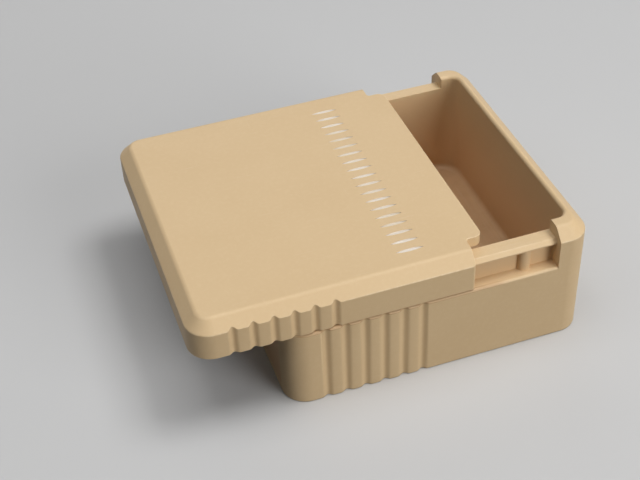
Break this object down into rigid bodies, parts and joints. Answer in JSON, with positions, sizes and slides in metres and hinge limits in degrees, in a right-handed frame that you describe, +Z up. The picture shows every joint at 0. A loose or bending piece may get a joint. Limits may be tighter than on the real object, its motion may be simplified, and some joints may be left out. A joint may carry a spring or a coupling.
{
  "type": "sliding-lid toothpick dispenser",
  "caption": "Square toothpick box with a deep tray and a lid that slides open along undercut side rails; half-round finger flutes on both long sides and a bevel round the top.",
  "frame": {"origin": "middle of the tray's flat base, where it stands on a table", "axes": "+X along the slide, towards the tray's full-height end; +Y across the box; +Z up"},
  "size_m": [0.1021, 0.08, 0.0338],
  "materials": {
    "tray_plastic": "fine satin, warm tan",
    "lid_plastic": "fine satin, warm tan"
  },
  "bodies": {
    "tray": {"tray_body": "tray_plastic"},
    "lid": {"sliding_lid": "lid_plastic"}
  },
  "joints": [
    {"name": "lid_slide", "type": "slide", "parent": "tray", "child": "lid", "axis": [-1, 0, 0], "range_m": [-0.0221, 0.0179]}
  ]
}
